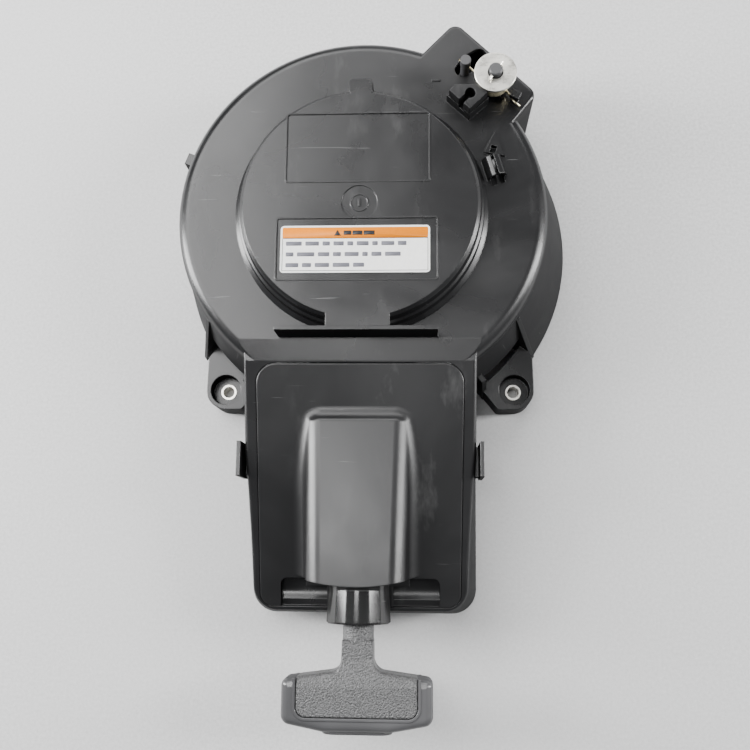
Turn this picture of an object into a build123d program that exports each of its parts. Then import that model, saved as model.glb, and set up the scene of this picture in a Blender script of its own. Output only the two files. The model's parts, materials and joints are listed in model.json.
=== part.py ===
from build123d import *

import os
from math import asin, atan2, cos, degrees, hypot, radians, sin, sqrt, tan

# Recoil starter of a small outboard engine: a moulded drum with a spring dome, a skirt that
# goes round the flywheel, a neck that guides the rope to a T-handle, and a start-in-gear lock.
# Millimetres. The origin is on the starter's axis, in the plane under the mounting feet.
# +Z runs up to the spring dome, -Y runs out along the neck to the handle.

# ---- shell ----
SHELL = 3.0
DRUM_R = 104.0
DRUM_TOP = 80.0
DRUM_LOW = 66.0
DRUM_EDGE = 7.0
DOME_TOP = 95.0
DOME_R = 65.7
DOME_FOOT_R = 70.5
DOME_ROOM_R = 62.7

# ---- skirt round the flywheel, open at the front between two angles ----
SKIRT_TOP = 68.0
SKIRT_FOOT = 2.0
SKIRT_R = 118.5
SKIRT_SHIFT = 3.8
SKIRT_RIGHT = -34.5
SKIRT_LEFT = -145.5
APRON_R = 110.0
APRON_FOOT = 35.0

# ---- mounting feet: the front pair lies a little to the right of the axis ----
FOOT_MIDDLE_X = 1.8
FOOT_SPACING = 174.0
FOOT_Y = -90.4
REAR_FOOT_Y = 123.0
REAR_FOOT_R = 11.5
FOOT_TOP = 20.0
FOOT_SEAT = 10.0
FOOT_SEAT_R = 9.1
FOOT_EDGE = 11.9
FOOT_CORNER_R = 11.8
FOOT_INNER_R = 112.0
SLEEVE_R = 4.7
BOLT_R = 3.5

# ---- neck and its cover ----
NECK_LOW = 15.0
NECK_WAIST_Y = -132.0
NECK_FOOT = (65.8, 65.6, 65.0, -221.0)
NECK_HEAD = (64.2, 62.6, 52.6, -215.8)
NECK_CORNER_R = 14.0
NECK_ROOF = 5.0
BLADE_BACK = -127.0
BLADE_FRONT = -146.0
SLOPE_START_Y = -72.0
SLOPE_Y = -84.0
SLOPE_Z = 78.2
SLOPE = degrees(atan2(26.2, 118.0))
COVER_BACK = -85.3
COVER_FRONT = -215.6
COVER_HALF_BACK = 56.8
COVER_HALF_FRONT = 54.9
COVER_T = 2.5
COVER_RISE = 0.7
COVER_GAP = 0.3
HOOD_X = -1.2
HOOD_BACK = -114.0
HOOD_FRONT = -204.4
HOOD_HALF_BACK = 28.4
HOOD_HALF_FRONT = 26.0
HOOD_TOP_BACK = 76.0
HOOD_TOP_FRONT = 80.0
HOOD_FLARE = 0.08
HOOD_ROOT_R = 7.5
HOOD_LOW = 40.0
HOOD_SHOULDER_R = 9.0
HOOD_NOSE_R = 105.0
SADDLE_BACK = -200.0
SADDLE_FRONT = -217.2
SADDLE_LOW = 30.0
SADDLE_HALF = 47.0
SCOOP_HALF = 43.5
SCOOP_BACK = -200.4

# ---- shallow frames in the dome's top: middle Y, width, height ----
FRAME_X = -1.2
FRAMES = ((31.8, 77.9, 39.0), (-26.05, 86.3, 33.9))
FRAME_CORNER_R = 1.2
FRAME_DEPTH = 0.4

# ---- rope line ----
ROPE_R = 2.5
ROPE_Z = 60.0
ROPE_PITCH = 5.2
ROPE_HALF_TURNS = 6
ROPE_FIRST_R = 66.0
GUIDE_Y = -203.0
COLLAR_R = 16.2
COLLAR_FLARE = 1.0
COLLAR_BACK = -199.0
COLLAR_END = -223.6

# ---- sheave and its axle ----
SHEAVE_R = 86.0
SHEAVE_GROOVE_R = 62.0
SHEAVE_LOW = 53.5
SHEAVE_TOP = 76.0
GROOVE_HALF = 3.5
FLANGE_T = 3.0
HUB_R = 17.0
HUB_TOP = 90.0
BUSH_R = 10.0
POST_R = 8.0
POST_LOW = 44.0
SPIGOT_R = 6.0
SPIGOT_LOW = 38.2
RUN = 0.05
NOTCH_COUNT = 12
NOTCH_R = 5.4
NOTCH_ANGLE = 37.2
NOTCH_DEPTH_R = 80.5

# ---- recoil spring ----
STRIP_T = 1.0
STRIP_LOW = 79.5
STRIP_W = 11.0
STRIP_FIRST_R = 19.5
STRIP_PITCH = 3.2
STRIP_HALF_TURNS = 25

# ---- ratchet under the sheave ----
PAWL_PIVOT_R = 26.0
PAWL_LOW = 43.0
PAWL_HIGH = 49.0
SHEAVE_HUB_LOW = 50.0
PEG_R = 2.0
PLATE_LOW = 38.4
PLATE_T = 2.0
PLATE_HUB_R = 21.0
PAWL_SWING = 25.0
PLATE_TURN = 20.0

# ---- start-in-gear lock ----
LOCK_X = 74.2
LOCK_Y = 73.9
LOCK_SHAFT_R = 3.75
LOCK_PEG_REACH = 18.6
LOCK_PEG_ANGLE = 150.0
LOCK_NOSE_REACH = 22.0
LOCK_NOSE_ANGLE = -75.0
LOCK_SLOT_R = 20.3
LOCK_SLOT_W = 9.4
LOCK_ARM_LOW = 68.0
LOCK_ARM_T = 5.0
LOCK_BOSS_R = 5.8
LOCK_BOSS_TOP = 95.6
WASHER_R = 11.7
WASHER_HOLE_R = 4.3
WASHER_T = 1.6

# ---- T-handle ----
HANDLE_STEM_R = 8.3
HANDLE_IN = -212.0
HANDLE_SHOULDER = -240.0
HANDLE_BACK = -251.6
HANDLE_FRONT = -274.0
HANDLE_END = -278.2
HANDLE_HALF = 39.7
HANDLE_HALF_T = 10.5
GRIP_HALF = 31.5
GRIP_FRONT = -270.4

os.makedirs("parts", exist_ok=True)


def polar(radius, angle):
    """The point at a radius and an angle, in degrees, about the starter's axis."""
    return (radius * cos(radians(angle)), radius * sin(radians(angle)))


def about(centre, radius, angle):
    """The point at a radius and an angle, in degrees, about another centre."""
    return (centre[0] + radius * cos(radians(angle)), centre[1] + radius * sin(radians(angle)))


def write(piece, node):
    """Label a finished piece and write its STEP file."""
    piece.label = node
    export_step(piece, f"parts/{node}.step")


FRONT_SECTOR = [(0, 0), polar(260, SKIRT_RIGHT), (214, -300), (-214, -300), polar(260, SKIRT_LEFT)]
SLOPE_PLANE = Plane(
    origin=(0, SLOPE_Y, SLOPE_Z),
    x_dir=(1, 0, 0),
    z_dir=(0, -sin(radians(SLOPE)), cos(radians(SLOPE))),
)
FEET = [
    (FOOT_MIDDLE_X + FOOT_SPACING / 2, FOOT_Y),
    (FOOT_MIDDLE_X - FOOT_SPACING / 2, FOOT_Y),
    (0, REAR_FOOT_Y),
]


def slope_z(y):
    """Height of the neck's top at a place along it."""
    return SLOPE_Z + (y - SLOPE_Y) * tan(radians(SLOPE))


def on_slope(x, y):
    """A point of the plan, given in the coordinates of the sloping plane."""
    return (x, (y - SLOPE_Y) / cos(radians(SLOPE)))


def skirt_cone(inset):
    """The cone of the skirt, from the drum's shoulder to its foot, drawn in by a wall."""
    with BuildPart() as cone:
        with BuildSketch(Plane.XY.offset(SKIRT_TOP)):
            Circle(DRUM_R - inset)
        with BuildSketch(Plane.XY.offset(SKIRT_FOOT)):
            with Locations((SKIRT_SHIFT, 0)):
                Circle(SKIRT_R - inset)
        loft()
        with BuildSketch(Plane.XY.offset(-10)):
            Polygon(*FRONT_SECTOR, align=None)
        extrude(amount=120, mode=Mode.SUBTRACT)
    return cone.part


def apron_cone(inset):
    """The steep wall under the drum at the front, beside the neck."""
    with BuildPart() as cone:
        with BuildSketch(Plane.XY.offset(SKIRT_TOP)):
            Circle(DRUM_R - inset)
        with BuildSketch(Plane.XY.offset(APRON_FOOT)):
            Circle(APRON_R - inset)
        loft()
    return cone.part


def neck_plan(level, halves, inset):
    """One level of the neck: its waist, the sides that close in to its end, its round corners."""
    root, waist, tip, end = halves
    with BuildSketch(Plane.XY.offset(level)) as plan:
        with BuildLine():
            Polyline(
                (inset - waist, NECK_WAIST_Y), (inset - root, -50),
                (root - inset, -50), (waist - inset, NECK_WAIST_Y),
            )
            FilletPolyline(
                (waist - inset, NECK_WAIST_Y), (tip - inset, end + inset), (inset - tip, end + inset),
                (inset - waist, NECK_WAIST_Y), radius=NECK_CORNER_R - inset,
            )
        make_face()
    return plan.sketch


def neck_solid(inset, low, roof):
    """The neck's box under its sloping top, drawn in by a wall on every side."""
    with BuildPart() as neck:
        add(neck_plan(low, NECK_FOOT, inset))
        add(neck_plan(DRUM_TOP, NECK_HEAD, inset))
        loft(ruled=True)
        with BuildSketch(Plane.YZ):
            Polygon(
                (-40, DRUM_TOP - 0.5 - roof), (SLOPE_Y, SLOPE_Z - roof), (-250, slope_z(-250) - roof),
                (-250, 140), (-40, 140), align=None,
            )
        extrude(amount=100, both=True, mode=Mode.SUBTRACT)
        if not inset:
            outer = neck.edges().filter_by(lambda e: e.center().Y < SLOPE_Y - 2)
            rim = outer.filter_by(lambda e: e.center().Z > slope_z(e.center().Y) - 0.5)
            fillet(rim, 2.0)
    return neck.part


def cover_outline(grow):
    """The cover's outline in the sloping plane, with room round it when it is grown."""
    with BuildSketch(SLOPE_PLANE) as outline:
        Polygon(
            on_slope(-COVER_HALF_BACK, COVER_BACK), on_slope(COVER_HALF_BACK, COVER_BACK),
            on_slope(COVER_HALF_FRONT, COVER_FRONT), on_slope(-COVER_HALF_FRONT, COVER_FRONT),
            align=None,
        )
        fillet(outline.vertices().group_by(Axis.Y)[-1], 11.0)
        fillet(outline.vertices().sort_by(Axis.Y)[:2], 7.0)
        if grow:
            offset(amount=grow)
    return outline.sketch


TOWER = [(24, 85.3), (52.8, 115.0), (99.4, 69.6), (78, 43)]


def tower_solid(inset, low, high):
    """The corner that carries the start-in-gear lock."""
    with BuildPart() as tower:
        with BuildSketch(Plane.XY.offset(low)) as plan:
            Polygon(*TOWER, align=None)
            fillet(plan.vertices().sort_by(lambda v: v.X + v.Y)[-2:], 6.0)
            if inset:
                offset(amount=-inset, kind=Kind.INTERSECTION, mode=Mode.REPLACE)
        extrude(amount=high - low)
        if not inset:
            fillet(tower.faces().sort_by(Axis.Z)[-1].edges(), 2.0)
    return tower.part


def foot_block(side):
    """One front lug: a corner plate outside the flywheel's circle, round about its bolt."""
    edge_x = FEET[0][0] + FOOT_EDGE
    edge_y = FOOT_Y - FOOT_EDGE
    with BuildPart() as foot:
        with BuildSketch() as plan:
            Polygon(
                polar(112, SKIRT_RIGHT + 1), (edge_x - 0.8, -70.5), (edge_x, edge_y),
                (79, edge_y), polar(108, -52.5), align=None,
            )
            low_corners = plan.vertices().sort_by(Axis.Y)[:2]
            fillet(low_corners.sort_by(Axis.X)[-1:], FOOT_CORNER_R)
            fillet(plan.vertices().sort_by(lambda v: v.Y + 0.01 * v.X)[:1], 3.0)
            Circle(FOOT_INNER_R, mode=Mode.SUBTRACT)
        extrude(amount=FOOT_TOP)
        if side < 0:
            mirror(about=Plane.YZ.offset(FOOT_MIDDLE_X), mode=Mode.REPLACE)
    return foot.part


def gusset(angle, inner, outer_low, outer_high, low, high):
    """A radial wall that carries a lug, taller at its root than at its tip."""
    plane = Plane(origin=(0, 0, 0), x_dir=(*polar(1, angle), 0), z_dir=(*polar(1, angle - 90), 0))
    with BuildPart() as wall:
        with BuildSketch(plane):
            Polygon((inner, low), (outer_low, low), (outer_high, high), (inner, high), align=None)
        extrude(amount=SHELL / 2, both=True)
    return wall.part


# ================= rope line =================


def half_turns(first_r, pitch, count, level):
    """A clockwise spiral that grows outwards: half circles about two centres by turns."""
    x = first_r
    with BuildLine(Plane.XY.offset(level)) as spiral:
        for turn in range(count):
            radius = first_r + pitch / 4 + turn * pitch / 2
            side = 1 if turn % 2 == 0 else -1
            centre = x - side * radius
            ThreePointArc((x, 0), (centre, -side * radius), (x - 2 * side * radius, 0))
            x = x - 2 * side * radius
    return spiral.wire(), x


coil_local, rope_leave = half_turns(ROPE_FIRST_R, ROPE_PITCH, ROPE_HALF_TURNS, ROPE_Z)
LEAD_ANGLE = degrees(asin(rope_leave / -GUIDE_Y))
lead_dir = Vector(-sin(radians(LEAD_ANGLE)), -cos(radians(LEAD_ANGLE)), 0)
lead_start = Vector(rope_leave, 0, 0).rotate(Axis.Z, -LEAD_ANGLE) + Vector(0, 0, ROPE_Z)
coil_path = coil_local.rotate(Axis.Z, -LEAD_ANGLE)

# ================= housing =================

with BuildPart() as drum:
    with BuildSketch(Plane.XY.offset(DRUM_LOW)):
        Circle(DRUM_R)
    extrude(amount=DRUM_TOP - DRUM_LOW)
    fillet(drum.edges().group_by(Axis.Z)[-1], DRUM_EDGE)

with BuildPart() as apron:
    add(apron_cone(0))
    add(apron_cone(SHELL), mode=Mode.SUBTRACT)
    with BuildSketch(Plane.XY.offset(20)):
        Polygon(*FRONT_SECTOR, align=None)
    extrude(amount=60, mode=Mode.INTERSECT)

# walls of the open front: aprons, skirt end walls, lugs and the walls that carry them
with BuildPart() as front_walls:
    add(apron.part)
    for side in (1, -1):
        add(foot_block(side))
    for angle in (SKIRT_RIGHT + 0.8, SKIRT_LEFT - 0.8):
        add(gusset(angle, 101.5, 122.5, 105.0, 4, 66))
    for angle in (-52.0, -128.0):
        add(gusset(angle, 104.0, 117.0, 113.0, 0, 42))
    add(neck_solid(SHELL, NECK_LOW - 1, NECK_ROOF), mode=Mode.SUBTRACT)

with BuildPart() as starter_housing:
    # outer masses
    add(drum.part)
    add(skirt_cone(0))
    add(tower_solid(0, 10, DRUM_TOP))
    add(neck_solid(0, NECK_LOW, 0))
    with BuildSketch(Plane.XZ):
        with BuildLine():
            Polyline(
                (0, 76), (DOME_FOOT_R, 76), (DOME_FOOT_R, DRUM_TOP + 0.6), (68.2, 82.4), (67.8, 87.4),
                (66.4, 88.2), (DOME_R, 93.2), (63.9, DOME_TOP), (0, DOME_TOP), (0, 76),
            )
        make_face()
    revolve(axis=Axis.Z)
    # the drum's front runs down into the neck's slope
    with BuildSketch(Plane.YZ):
        Polygon(
            (SLOPE_START_Y, DRUM_TOP), (SLOPE_Y, SLOPE_Z), (-110, slope_z(-110)),
            (-110, 90), (SLOPE_START_Y, 90), align=None,
        )
    extrude(amount=NECK_HEAD[0] + 2, both=True, mode=Mode.SUBTRACT)

    # rooms inside: drum, dome, skirt, tower and neck run into one another
    with BuildSketch(Plane.XY.offset(SKIRT_FOOT - 2)):
        Circle(DRUM_R - SHELL)
    extrude(amount=DRUM_TOP - SHELL - SKIRT_FOOT + 2, mode=Mode.SUBTRACT)
    with BuildSketch(Plane.XY.offset(70)):
        Circle(DOME_ROOM_R)
    extrude(amount=DOME_TOP - SHELL - 70, mode=Mode.SUBTRACT)
    add(skirt_cone(SHELL), mode=Mode.SUBTRACT)
    add(tower_solid(SHELL, 9, DRUM_TOP - SHELL), mode=Mode.SUBTRACT)
    add(neck_solid(SHELL, NECK_LOW - 1, NECK_ROOF), mode=Mode.SUBTRACT)
    add(front_walls.part)

    # rear foot
    with BuildSketch():
        with Locations((0, REAR_FOOT_Y)):
            Circle(REAR_FOOT_R)
        with Locations((0, REAR_FOOT_Y - 6)):
            Rectangle(2 * REAR_FOOT_R, 12)
        Circle(FOOT_INNER_R, mode=Mode.SUBTRACT)
    extrude(amount=FOOT_TOP)

    # seats and sleeve holes of the feet
    with Locations(*[(x, y, FOOT_TOP) for x, y in FEET]):
        CounterBoreHole(SLEEVE_R, FOOT_SEAT_R, FOOT_TOP - FOOT_SEAT, FOOT_TOP)

    # post that carries the sheave
    with BuildSketch(Plane.XY.offset(DOME_TOP - SHELL)):
        Circle(POST_R)
    extrude(amount=-(DOME_TOP - SHELL - POST_LOW))
    with BuildSketch(Plane.XY.offset(POST_LOW)):
        Circle(SPIGOT_R)
    extrude(amount=-(POST_LOW - SPIGOT_LOW))
    with BuildSketch(Plane.XY.offset(SPIGOT_LOW)):
        Circle(4.2)
    extrude(amount=30, mode=Mode.SUBTRACT)
    # groove for the sheave's snap ring
    with BuildSketch(Plane.XY.offset(48.3)):
        Circle(POST_R)
        Circle(POST_R - 1.0, mode=Mode.SUBTRACT)
    extrude(amount=1.3, mode=Mode.SUBTRACT)
    # peg for the outer end of the recoil spring
    with BuildSketch(Plane.XY.offset(DOME_TOP - SHELL)):
        with Locations(polar(61.0, 176)):
            Circle(2.2)
    extrude(amount=-13)

    # saddle block at the end of the neck, with a round seat for the collar
    with BuildSketch(Plane.XY.offset(SADDLE_LOW)):
        with Locations((0, (SADDLE_BACK + SADDLE_FRONT) / 2)):
            Rectangle(2 * SADDLE_HALF, SADDLE_BACK - SADDLE_FRONT)
    extrude(amount=slope_z(SADDLE_FRONT) - SADDLE_LOW)

    # rebate for the cover, and the opening under it
    extrude(cover_outline(COVER_GAP), amount=-COVER_T, mode=Mode.SUBTRACT)
    extrude(cover_outline(COVER_GAP), amount=8, mode=Mode.SUBTRACT)
    with BuildSketch(SLOPE_PLANE) as light:
        Polygon((-52, -6), (52, -6), (50, -118), (-50, -118), align=None)
        fillet(light.vertices(), 9.0)
    extrude(amount=-14, mode=Mode.SUBTRACT)
    # scoops and collar seat in the saddle
    with BuildSketch(Plane.YZ):
        with Locations((-207.6, 57.0)):
            Circle(10.6)
    extrude(amount=SCOOP_HALF, both=True, mode=Mode.SUBTRACT)
    with BuildSketch(Plane.XZ.offset(-SADDLE_BACK - 1)):
        with Locations((0, ROPE_Z)):
            Circle(COLLAR_R + COLLAR_FLARE + 0.1)
    extrude(amount=40, mode=Mode.SUBTRACT)

    # rib across the front of the dome, and the tabs on the dome
    with BuildSketch(Plane.XY.offset(DRUM_TOP - 2)):
        with Locations((-1.0, -70.2)):
            Rectangle(86.8, 2.2)
    extrude(amount=20)
    with BuildSketch(Plane.XY.offset(DRUM_TOP - 2)):
        with Locations((0, 67.6)):
            RectangleRounded(13.4, 9.2, 3.0)
        with Locations((-0.3, -65.6)):
            Rectangle(34.4, 9)
    extrude(amount=DOME_TOP - DRUM_TOP + 2)

    # shallow frames with raised edges, and the gate mark, in the dome's top
    with BuildSketch(Plane.XY.offset(DOME_TOP)):
        for middle_y, width, height in FRAMES:
            with Locations((FRAME_X, middle_y)):
                RectangleRounded(width, height, FRAME_CORNER_R)
        Circle(9.7)
    extrude(amount=-FRAME_DEPTH, mode=Mode.SUBTRACT)
    with BuildSketch(Plane.XY.offset(DOME_TOP - 0.5)):
        Circle(5.1)
        Circle(4.3, mode=Mode.SUBTRACT)
        Rectangle(1.4, 4.4)
    extrude(amount=0.4)
    with BuildSketch(Plane.XY.offset(DOME_TOP - 1)):
        for middle_y, width, height in FRAMES:
            with Locations((FRAME_X, middle_y)):
                RectangleRounded(width + 1.6, height + 1.6, FRAME_CORNER_R + 0.8)
        for middle_y, width, height in FRAMES:
            with Locations((FRAME_X, middle_y)):
                RectangleRounded(width, height, FRAME_CORNER_R, mode=Mode.SUBTRACT)
    extrude(amount=1.25)

    # raised tick on the drum
    with BuildSketch(Plane.XY.offset(DRUM_TOP - 0.5)):
        with Locations((41.7, 78.2)):
            Rectangle(5.0, 1.0)
    extrude(amount=1.1)

    # lock: boss, arc slot, hook post
    with BuildSketch(Plane.XY.offset(DRUM_TOP - SHELL)):
        with Locations((LOCK_X, LOCK_Y)):
            Circle(LOCK_BOSS_R)
    extrude(amount=LOCK_BOSS_TOP - DRUM_TOP + SHELL)
    with BuildSketch(Plane.XY.offset(66)):
        with Locations((LOCK_X, LOCK_Y)):
            Circle(LOCK_SHAFT_R + RUN)
        with BuildLine(mode=Mode.PRIVATE) as slot_path:
            ThreePointArc(*[about((LOCK_X, LOCK_Y), LOCK_SLOT_R, angle) for angle in (113, 130, 147)])
        SlotArc(slot_path.edge(), LOCK_SLOT_W)
    extrude(amount=40, mode=Mode.SUBTRACT)
    with BuildSketch(Plane.XY.offset(DRUM_TOP - 1)):
        with Locations(Location((86.0, 65.4, 0), (0, 0, 60))):
            Rectangle(2.6, 4.0)
    extrude(amount=6.4)
    with BuildSketch(Plane.XY.offset(DRUM_TOP + 5)):
        with Locations(Location((86.0, 65.4, 0), (0, 0, 60))):
            Rectangle(4.4, 5.6)
    extrude(amount=3.0)

    # cable anchor block: a base, a neck and a keyholed top plate
    with BuildSketch(Plane.XY.offset(DRUM_TOP - 1)):
        Polygon((47.6, 65.6), (60.2, 53.6), (71.2, 63.9), (66.0, 69.0), (51.0, 69.0), align=None)
    extrude(amount=8)
    with BuildSketch(Plane.XY.offset(DRUM_TOP + 6)):
        Polygon((50.2, 65.2), (60.2, 55.8), (68.8, 63.9), (65.0, 67.4), (52.4, 67.4), align=None)
    extrude(amount=5)
    with BuildSketch(Plane.XY.offset(DRUM_TOP + 9)):
        Polygon((48.8, 64.4), (60.0, 53.3), (70.0, 63.1), (65.1, 67.8), (51.7, 67.8), align=None)
    extrude(amount=6.5)
    with BuildSketch(Plane.XY.offset(DRUM_TOP + 5)):
        with Locations((60.3, 62.6)):
            Circle(3.0)
        with Locations(Location((56.6, 59.0, 0), (0, 0, 45))):
            Rectangle(9.4, 3.4)
    extrude(amount=14, mode=Mode.SUBTRACT)

    # half-sunk cable clip: a ramp with a square hole, a trough in the drum's top and a split tube
    with BuildSketch(Plane.XY.offset(DRUM_TOP - 1)):
        Polygon((74.8, 46.7), (68.2, 34.0), (79.9, 31.6), align=None)
    extrude(amount=2.6)
    with BuildSketch(Plane.XY.offset(DRUM_TOP - 2)):
        with Locations(Location((73.5, 35.6, 0), (0, 0, -16))):
            Rectangle(3.2, 4.4)
    extrude(amount=6, mode=Mode.SUBTRACT)
    clip_plane = Plane(
        origin=(72.2, 30.2, DRUM_TOP + 1.4),
        x_dir=(0.96, 0.279, 0),
        z_dir=(0.279, -0.96, 0),
    )
    with BuildSketch(clip_plane):
        Circle(5.5)
    extrude(amount=11.8)
    with BuildSketch(clip_plane.offset(-1.5)):
        Circle(4.1)
        with Locations((0, 5)):
            Rectangle(1.7, 8)
    extrude(amount=16.5, mode=Mode.SUBTRACT)

    # latch blades beside the neck's walls, and the small boss on the skirt's left
    for side in (1, -1):
        with BuildSketch(Plane.XY.offset(44)):
            with Locations((side * 63.8, (BLADE_BACK + BLADE_FRONT) / 2)):
                Rectangle(6.0, BLADE_BACK - BLADE_FRONT - 2)
        extrude(amount=7)
        with BuildSketch(Plane.XY.offset(44)):
            with Locations((side * 66.4, (BLADE_BACK + BLADE_FRONT) / 2)):
                Rectangle(2.2, BLADE_BACK - BLADE_FRONT)
        extrude(amount=26)
    with BuildSketch(Plane.XY.offset(52)):
        with Locations(Location((*polar(108.5, 159), 0), (0, 0, 159))):
            Rectangle(6, 7)
    extrude(amount=12)

write(starter_housing.part, "starter_housing")

# ================= cover with its hood, collar and guide =================


def hood_block(inset, ends):
    """The hood's flared block from back to front, drawn in by a wall."""
    back, front = ends
    with BuildPart() as block:
        for y, half, top in (
            (back, HOOD_HALF_BACK, HOOD_TOP_BACK),
            (front, HOOD_HALF_FRONT, HOOD_TOP_FRONT),
        ):
            low_half = half - inset + (top - HOOD_LOW) * HOOD_FLARE
            with BuildSketch(Plane.XZ.offset(-y)):
                with Locations((HOOD_X, 0)):
                    Polygon(
                        (-low_half, HOOD_LOW), (low_half, HOOD_LOW), (half - inset, top - inset),
                        (inset - half, top - inset), align=None,
                    )
        loft()
        shoulders = block.edges().filter_by(lambda e: e.center().Z > 70 and e.length > 70)
        fillet(shoulders, HOOD_SHOULDER_R - inset)
    return block.part


with BuildPart() as hood_outer:
    add(hood_block(0, (HOOD_BACK, HOOD_FRONT)))
    back_edges = hood_outer.edges().filter_by(lambda e: abs(e.center().Y - HOOD_BACK) < 1)
    fillet(back_edges.filter_by(lambda e: e.center().Z > 66), 3.0)
    # the front bulges a little
    with BuildSketch(Plane.XY.offset(HOOD_LOW - 5)):
        with Locations((HOOD_X, HOOD_FRONT + HOOD_NOSE_R)):
            Circle(HOOD_NOSE_R)
    extrude(amount=60, mode=Mode.INTERSECT)



def is_hood_root(edge):
    """True for the edges where the hood's sides stand on the cover."""
    middle = edge.center()
    on_top = abs(middle.Z - slope_z(middle.Y) - COVER_RISE) < 0.6
    return on_top and 20 < abs(middle.X) < 32 and middle.Y < HOOD_BACK + 1 and edge.length > 4


with BuildPart() as rope_guide_cover:
    add(cover_outline(0))
    extrude(amount=COVER_RISE)
    fillet(rope_guide_cover.faces().filter_by(lambda f: f.normal_at().Z > 0.9).edges(), COVER_RISE - 0.1)
    extrude(cover_outline(0), amount=-COVER_T)
    add(hood_outer.part)
    fillet(rope_guide_cover.edges().filter_by(is_hood_root), HOOD_ROOT_R)
    # keep what lies above the cover's underside
    under = COVER_T / cos(radians(SLOPE))
    with BuildSketch(Plane.YZ):
        Polygon(
            (-60, slope_z(-60) - under), (-240, slope_z(-240) - under), (-240, 120), (-60, 120),
            align=None,
        )
    extrude(amount=80, both=True, mode=Mode.INTERSECT)
    add(hood_block(2.8, (HOOD_BACK - 3, HOOD_FRONT + 3)), mode=Mode.SUBTRACT)
    with BuildSketch(Plane.XZ.offset(199)):
        with Locations((0, ROPE_Z)):
            Circle(COLLAR_R + 0.1)
    extrude(amount=7, mode=Mode.SUBTRACT)
    with BuildSketch(Plane.XZ.offset(206)):
        with Locations((0, ROPE_Z)):
            Circle(COLLAR_R + COLLAR_FLARE + 0.1)
    extrude(amount=30, mode=Mode.SUBTRACT)
    # channel in the underside that the rope runs through
    with BuildSketch(Plane(origin=lead_start, x_dir=(0, 0, 1), z_dir=lead_dir)):
        Circle(ROPE_R + 1.0)
    extrude(amount=-GUIDE_Y, mode=Mode.SUBTRACT)
    # scoops beside the collar: they stop at the hood's sides and front
    with BuildSketch(Plane.XY.offset(40)) as scoops:
        for side in (1, -1):
            hood_side = HOOD_X + side * (HOOD_HALF_FRONT + 2.4)
            Polygon(
                (side * SCOOP_HALF, SCOOP_BACK), (hood_side, SCOOP_BACK), (hood_side, HOOD_FRONT - 0.2),
                (side * 18, HOOD_FRONT - 0.2), (side * 18, -222), (side * SCOOP_HALF, -222),
                align=None,
            )
        fillet(scoops.vertices().sort_by(lambda v: abs(v.X) + 0.1 * v.Y)[-2:], 3.5)
    extrude(amount=40, mode=Mode.SUBTRACT)

write(rope_guide_cover.part, "rope_guide_cover")

COLLAR_PLANE = Plane(origin=(0, 0, ROPE_Z), x_dir=(1, 0, 0), z_dir=(0, 0, 1))
COLLAR_AXIS = Axis((0, 0, ROPE_Z), (0, 1, 0))

with BuildPart() as handle_seat:
    with BuildSketch(COLLAR_PLANE):
        with BuildLine():
            Polyline(
                (6.2, COLLAR_BACK - 1.5), (COLLAR_R, COLLAR_BACK - 1.5), (COLLAR_R, COLLAR_BACK - 7.0),
                (COLLAR_R + COLLAR_FLARE, COLLAR_END + 0.8), (COLLAR_R + COLLAR_FLARE - 0.8, COLLAR_END),
                (HANDLE_STEM_R + 1.3, COLLAR_END),
                (HANDLE_STEM_R + 0.5, COLLAR_END + 1.2), (HANDLE_STEM_R + 0.5, HANDLE_IN + 0.6),
                (6.2, HANDLE_IN + 2.4), (6.2, COLLAR_BACK - 1.5),
            )
        make_face()
    revolve(axis=COLLAR_AXIS)
write(handle_seat.part, "handle_seat")

with BuildPart() as rope_guide_bush:
    with BuildSketch(COLLAR_PLANE):
        with BuildLine():
            Polyline((3.2, -204), (3.2, -208), (6.15, -208), (6.15, -200.45), (8.4, -200.45))
            Line((8.4, -200.45), (8.4, -198.6))
            Line((8.4, -198.6), (6.6, -198.2))
            RadiusArc((6.6, -198.2), (3.2, -204), -7.5)
        make_face()
    revolve(axis=COLLAR_AXIS)
write(rope_guide_bush.part, "rope_guide_bush")

# ================= feet sleeves, label =================

with BuildPart() as mount_sleeves:
    with BuildSketch():
        with Locations(*FEET):
            Circle(SLEEVE_R)
            Circle(BOLT_R, mode=Mode.SUBTRACT)
    extrude(amount=FOOT_SEAT + 0.6)
write(mount_sleeves.part, "mount_sleeves")

with BuildPart() as warning_label:
    with BuildSketch(Plane.XY.offset(DOME_TOP - 0.4)):
        with Locations((-2.1, -26.25)):
            RectangleRounded(80.6, 26.3, 2.0)
    extrude(amount=0.45)
write(warning_label.part, "warning_label")

# ================= recoil spring =================

strip_path = half_turns(STRIP_FIRST_R, STRIP_PITCH, STRIP_HALF_TURNS, STRIP_LOW)[0]
with BuildPart() as recoil_spring:
    with BuildSketch(Plane(origin=(STRIP_FIRST_R, 0, STRIP_LOW), x_dir=(1, 0, 0), z_dir=(0, -1, 0))):
        with Locations((0, STRIP_W / 2)):
            Rectangle(STRIP_T, STRIP_W)
    sweep(path=strip_path)
write(recoil_spring.part, "recoil_spring")

# ================= sheave =================

KNOT_DIR = (*polar(1, -LEAD_ANGLE), 0)
KNOT_PLANE = Plane(origin=(*polar(50, -LEAD_ANGLE), ROPE_Z), x_dir=(0, 0, 1), z_dir=KNOT_DIR)

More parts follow.
